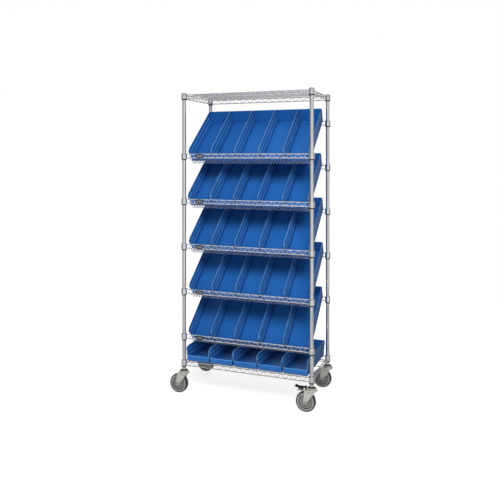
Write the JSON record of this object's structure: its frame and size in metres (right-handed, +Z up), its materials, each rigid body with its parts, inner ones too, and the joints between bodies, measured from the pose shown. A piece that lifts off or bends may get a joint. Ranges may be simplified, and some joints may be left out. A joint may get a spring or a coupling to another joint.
{
  "type": "mobile bin cart",
  "caption": "Chrome wire shelving cart on swivel casters with sloping shelves of blue open-top shelf bins, for storing and picking small parts and supplies.",
  "frame": {"origin": "on the floor, midway between the four posts", "axes": "+Z up, +X to the right seen from the front, +Y from the front to the back"},
  "size_m": [1.0251, 0.5018, 2.0324],
  "materials": {
    "chrome": "bright plated",
    "black_plastic": "satin",
    "badge_grey": "satin",
    "bin_blue": "semi-gloss",
    "zinc": "zinc plated",
    "bright_steel": "bright",
    "wheel_grey": "matte",
    "black_pedal": "satin"
  },
  "bodies": {
    "frame": {"post_front_left": "chrome", "post_front_right": "chrome", "post_rear_left": "chrome", "post_rear_right": "chrome", "post_caps": "chrome", "split_sleeves": "black_plastic", "top_shelf": "chrome", "sloping_shelf_1": "chrome", "sloping_shelf_2": "chrome", "sloping_shelf_3": "chrome", "sloping_shelf_4": "chrome", "sloping_shelf_5": "chrome", "bottom_shelf": "chrome", "shelf_badges": "badge_grey", "caster_stems": "zinc", "stem_bushings": "black_plastic", "caster_balls": "bright_steel"},
    "caster_front_left": {"fork_front_left": "zinc", "axle_front_left": "bright_steel"},
    "caster_front_right": {"fork_front_right": "zinc", "axle_front_right": "bright_steel"},
    "caster_rear_left": {"fork_rear_left": "zinc", "axle_rear_left": "bright_steel"},
    "caster_rear_right": {"fork_rear_right": "zinc", "axle_rear_right": "bright_steel"},
    "wheel_front_left": {"wheel_front_left": "wheel_grey"},
    "wheel_front_right": {"wheel_front_right": "wheel_grey"},
    "wheel_rear_left": {"wheel_rear_left": "wheel_grey"},
    "wheel_rear_right": {"wheel_rear_right": "wheel_grey"},
    "brake_pedal": {"brake_pedal": "black_pedal"},
    "bin_1_1": {"bin_1_1": "bin_blue"},
    "bin_1_2": {"bin_1_2": "bin_blue"},
    "bin_1_3": {"bin_1_3": "bin_blue"},
    "bin_1_4": {"bin_1_4": "bin_blue"},
    "bin_1_5": {"bin_1_5": "bin_blue"},
    "bin_2_1": {"bin_2_1": "bin_blue"},
    "bin_2_2": {"bin_2_2": "bin_blue"},
    "bin_2_3": {"bin_2_3": "bin_blue"},
    "bin_2_4": {"bin_2_4": "bin_blue"},
    "bin_2_5": {"bin_2_5": "bin_blue"},
    "bin_3_1": {"bin_3_1": "bin_blue"},
    "bin_3_2": {"bin_3_2": "bin_blue"},
    "bin_3_3": {"bin_3_3": "bin_blue"},
    "bin_3_4": {"bin_3_4": "bin_blue"},
    "bin_3_5": {"bin_3_5": "bin_blue"},
    "bin_4_1": {"bin_4_1": "bin_blue"},
    "bin_4_2": {"bin_4_2": "bin_blue"},
    "bin_4_3": {"bin_4_3": "bin_blue"},
    "bin_4_4": {"bin_4_4": "bin_blue"},
    "bin_4_5": {"bin_4_5": "bin_blue"},
    "bin_5_1": {"bin_5_1": "bin_blue"},
    "bin_5_2": {"bin_5_2": "bin_blue"},
    "bin_5_3": {"bin_5_3": "bin_blue"},
    "bin_5_4": {"bin_5_4": "bin_blue"},
    "bin_5_5": {"bin_5_5": "bin_blue"},
    "bin_6_1": {"bin_6_1": "bin_blue"},
    "bin_6_2": {"bin_6_2": "bin_blue"},
    "bin_6_3": {"bin_6_3": "bin_blue"},
    "bin_6_4": {"bin_6_4": "bin_blue"},
    "bin_6_5": {"bin_6_5": "bin_blue"}
  },
  "joints": [
    {"name": "swivel_front_left", "type": "hinge", "parent": "frame", "child": "caster_front_left", "pos_m": [-0.44456, -0.2159, 0.1475], "axis": [0, 0, 1], "continuous": true},
    {"name": "swivel_front_right", "type": "hinge", "parent": "frame", "child": "caster_front_right", "pos_m": [0.44456, -0.2159, 0.1475], "axis": [0, 0, 1], "continuous": true},
    {"name": "swivel_rear_left", "type": "hinge", "parent": "frame", "child": "caster_rear_left", "pos_m": [-0.44456, 0.2159, 0.1475], "axis": [0, 0, 1], "continuous": true},
    {"name": "swivel_rear_right", "type": "hinge", "parent": "frame", "child": "caster_rear_right", "pos_m": [0.44456, 0.2159, 0.1475], "axis": [0, 0, 1], "continuous": true},
    {"name": "spin_front_left", "type": "hinge", "parent": "caster_front_left", "child": "wheel_front_left", "pos_m": [-0.48206, -0.2159, 0.0635], "axis": [0, 1, 0], "continuous": true},
    {"name": "spin_front_right", "type": "hinge", "parent": "caster_front_right", "child": "wheel_front_right", "pos_m": [0.40706, -0.2159, 0.0635], "axis": [0, 1, 0], "continuous": true},
    {"name": "spin_rear_left", "type": "hinge", "parent": "caster_rear_left", "child": "wheel_rear_left", "pos_m": [-0.48206, 0.2159, 0.0635], "axis": [0, 1, 0], "continuous": true},
    {"name": "spin_rear_right", "type": "hinge", "parent": "caster_rear_right", "child": "wheel_rear_right", "pos_m": [0.40706, 0.2159, 0.0635], "axis": [0, 1, 0], "continuous": true},
    {"name": "brake_press", "type": "hinge", "parent": "caster_front_right", "child": "brake_pedal", "pos_m": [0.40256, -0.2159, 0.148], "axis": [0, -1, 0], "range_deg": [0, 12]},
    {"name": "slide_bin_1_1", "type": "slide", "parent": "frame", "child": "bin_1_1", "axis": [0, 0.7714, 0.6364], "range_m": [0, 0.47]},
    {"name": "slide_bin_1_2", "type": "slide", "parent": "frame", "child": "bin_1_2", "axis": [0, 0.7714, 0.6364], "range_m": [0, 0.47]},
    {"name": "slide_bin_1_3", "type": "slide", "parent": "frame", "child": "bin_1_3", "axis": [0, 0.7714, 0.6364], "range_m": [0, 0.47]},
    {"name": "slide_bin_1_4", "type": "slide", "parent": "frame", "child": "bin_1_4", "axis": [0, 0.7714, 0.6364], "range_m": [0, 0.47]},
    {"name": "slide_bin_1_5", "type": "slide", "parent": "frame", "child": "bin_1_5", "axis": [0, 0.7714, 0.6364], "range_m": [0, 0.47]},
    {"name": "slide_bin_2_1", "type": "slide", "parent": "frame", "child": "bin_2_1", "axis": [0, 0.7714, 0.6364], "range_m": [0, 0.47]},
    {"name": "slide_bin_2_2", "type": "slide", "parent": "frame", "child": "bin_2_2", "axis": [0, 0.7714, 0.6364], "range_m": [0, 0.47]},
    {"name": "slide_bin_2_3", "type": "slide", "parent": "frame", "child": "bin_2_3", "axis": [0, 0.7714, 0.6364], "range_m": [0, 0.47]},
    {"name": "slide_bin_2_4", "type": "slide", "parent": "frame", "child": "bin_2_4", "axis": [0, 0.7714, 0.6364], "range_m": [0, 0.47]},
    {"name": "slide_bin_2_5", "type": "slide", "parent": "frame", "child": "bin_2_5", "axis": [0, 0.7714, 0.6364], "range_m": [0, 0.47]},
    {"name": "slide_bin_3_1", "type": "slide", "parent": "frame", "child": "bin_3_1", "axis": [0, 0.7714, 0.6364], "range_m": [0, 0.47]},
    {"name": "slide_bin_3_2", "type": "slide", "parent": "frame", "child": "bin_3_2", "axis": [0, 0.7714, 0.6364], "range_m": [0, 0.47]},
    {"name": "slide_bin_3_3", "type": "slide", "parent": "frame", "child": "bin_3_3", "axis": [0, 0.7714, 0.6364], "range_m": [0, 0.47]},
    {"name": "slide_bin_3_4", "type": "slide", "parent": "frame", "child": "bin_3_4", "axis": [0, 0.7714, 0.6364], "range_m": [0, 0.47]},
    {"name": "slide_bin_3_5", "type": "slide", "parent": "frame", "child": "bin_3_5", "axis": [0, 0.7714, 0.6364], "range_m": [0, 0.47]},
    {"name": "slide_bin_4_1", "type": "slide", "parent": "frame", "child": "bin_4_1", "axis": [0, 0.7714, 0.6364], "range_m": [0, 0.47]},
    {"name": "slide_bin_4_2", "type": "slide", "parent": "frame", "child": "bin_4_2", "axis": [0, 0.7714, 0.6364], "range_m": [0, 0.47]},
    {"name": "slide_bin_4_3", "type": "slide", "parent": "frame", "child": "bin_4_3", "axis": [0, 0.7714, 0.6364], "range_m": [0, 0.47]},
    {"name": "slide_bin_4_4", "type": "slide", "parent": "frame", "child": "bin_4_4", "axis": [0, 0.7714, 0.6364], "range_m": [0, 0.47]},
    {"name": "slide_bin_4_5", "type": "slide", "parent": "frame", "child": "bin_4_5", "axis": [0, 0.7714, 0.6364], "range_m": [0, 0.47]},
    {"name": "slide_bin_5_1", "type": "slide", "parent": "frame", "child": "bin_5_1", "axis": [0, 0.7714, 0.6364], "range_m": [0, 0.47]},
    {"name": "slide_bin_5_2", "type": "slide", "parent": "frame", "child": "bin_5_2", "axis": [0, 0.7714, 0.6364], "range_m": [0, 0.47]},
    {"name": "slide_bin_5_3", "type": "slide", "parent": "frame", "child": "bin_5_3", "axis": [0, 0.7714, 0.6364], "range_m": [0, 0.47]},
    {"name": "slide_bin_5_4", "type": "slide", "parent": "frame", "child": "bin_5_4", "axis": [0, 0.7714, 0.6364], "range_m": [0, 0.47]},
    {"name": "slide_bin_5_5", "type": "slide", "parent": "frame", "child": "bin_5_5", "axis": [0, 0.7714, 0.6364], "range_m": [0, 0.47]},
    {"name": "slide_bin_6_1", "type": "slide", "parent": "frame", "child": "bin_6_1", "axis": [0, -1, 0], "range_m": [0, 0.47]},
    {"name": "slide_bin_6_2", "type": "slide", "parent": "frame", "child": "bin_6_2", "axis": [0, -1, 0], "range_m": [0, 0.47]},
    {"name": "slide_bin_6_3", "type": "slide", "parent": "frame", "child": "bin_6_3", "axis": [0, -1, 0], "range_m": [0, 0.47]},
    {"name": "slide_bin_6_4", "type": "slide", "parent": "frame", "child": "bin_6_4", "axis": [0, -1, 0], "range_m": [0, 0.47]},
    {"name": "slide_bin_6_5", "type": "slide", "parent": "frame", "child": "bin_6_5", "axis": [0, -1, 0], "range_m": [0, 0.47]}
  ]
}
